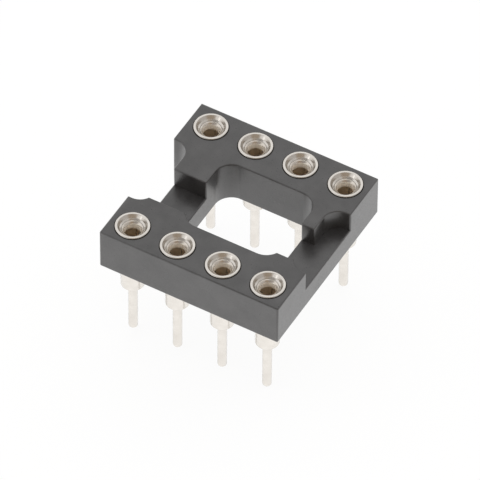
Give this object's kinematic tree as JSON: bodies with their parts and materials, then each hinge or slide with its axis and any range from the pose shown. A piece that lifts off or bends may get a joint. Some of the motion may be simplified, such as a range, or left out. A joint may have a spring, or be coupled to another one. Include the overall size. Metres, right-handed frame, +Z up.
{
  "type": "ic socket",
  "caption": "Open-frame socket for a dual in-line integrated circuit, with rows of turned contacts that have funnel mouths above and round solder tails below.",
  "frame": {"origin": "middle of the contact pattern, level with the tips of the solder tails", "axes": "+X along the rows away from the pin 1 end, +Y from the front row to the back row, +Z up out of the contact mouths"},
  "size_m": [0.01, 0.01, 0.0074],
  "materials": {
    "moulding": "black glass-filled thermoplastic, fine matt moulded skin",
    "plating": "bright tin plating over turned brass",
    "spring": "plated copper alloy strip, drawn and slit"
  },
  "bodies": {
    "root": {"housing": "moulding", "sleeve_1": "plating", "sleeve_2": "plating", "sleeve_3": "plating", "sleeve_4": "plating", "sleeve_5": "plating", "sleeve_6": "plating", "sleeve_7": "plating", "sleeve_8": "plating", "clip_1": "spring", "clip_2": "spring", "clip_3": "spring", "clip_4": "spring", "clip_5": "spring", "clip_6": "spring", "clip_7": "spring", "clip_8": "spring"}
  },
  "joints": []
}
